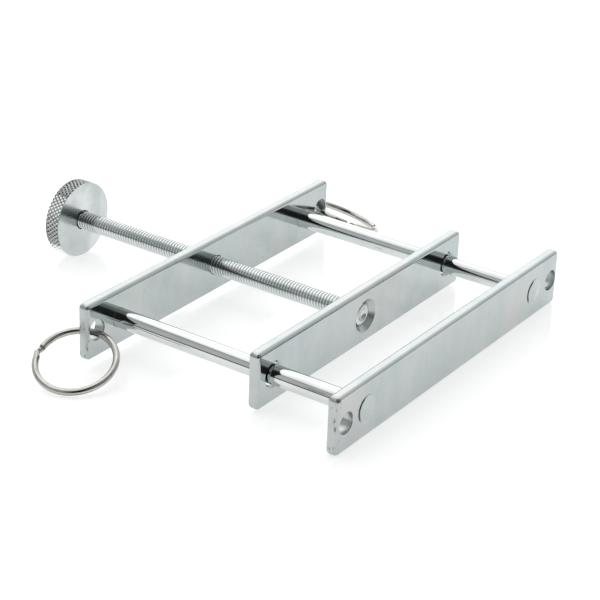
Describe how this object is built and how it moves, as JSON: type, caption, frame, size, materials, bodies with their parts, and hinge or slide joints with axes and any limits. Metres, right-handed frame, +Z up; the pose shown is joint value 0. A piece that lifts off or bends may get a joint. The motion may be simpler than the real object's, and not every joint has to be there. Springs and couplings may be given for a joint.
{
  "type": "guided screw clamp",
  "caption": "Guided screw clamp: flat bars on twin guide rods, a sliding pressure bar driven by a knurled thumbscrew, split rings on the rear bar.",
  "frame": {"origin": "middle of the front bar's bottom face", "axes": "+X along the bars, +Y along the guide rods from the front bar to the knob, +Z up"},
  "size_m": [0.107, 0.0991, 0.017],
  "materials": {
    "bar_plate": "bright zinc plate, satin, rounded edges",
    "rod_steel": "polished",
    "spindle_steel": "bright zinc plate over a rolled thread",
    "knob_plate": "turned faces, diamond-knurled rim",
    "ring_nickel": "nickel plate, polished"
  },
  "bodies": {
    "frame": {"front_bar": "bar_plate", "rear_bar": "bar_plate", "guide_rod_left": "rod_steel", "guide_rod_right": "rod_steel"},
    "pressure_bar": {"pressure_bar": "bar_plate"},
    "screw": {"spindle": "spindle_steel", "knob": "knob_plate"},
    "ring_left": {"split_ring_left": "ring_nickel"},
    "ring_right": {"split_ring_right": "ring_nickel"}
  },
  "joints": [
    {"name": "screw_turn", "type": "hinge", "parent": "pressure_bar", "child": "screw", "pos_m": [0, 0.0223, 0.006], "axis": [0, 1, 0], "range_deg": [-9460, 17740]},
    {"name": "pressure_bar_slide", "type": "slide", "parent": "frame", "child": "pressure_bar", "axis": [0, 1, 0], "range_m": [-0.0184, 0.0345]},
    {"name": "ring_left_swing", "type": "hinge", "parent": "frame", "child": "ring_left", "pos_m": [-0.03835, 0.0585, 0.006], "axis": [0, 1, 0], "range_deg": [-35, 115]},
    {"name": "ring_right_swing", "type": "hinge", "parent": "frame", "child": "ring_right", "pos_m": [0.03835, 0.0585, 0.006], "axis": [0, -1, 0], "range_deg": [-35, 115]}
  ],
  "couplings": [
    {"joint": "pressure_bar_slide", "follows": "screw_turn", "m_per_rad": 0.00011141}
  ]
}
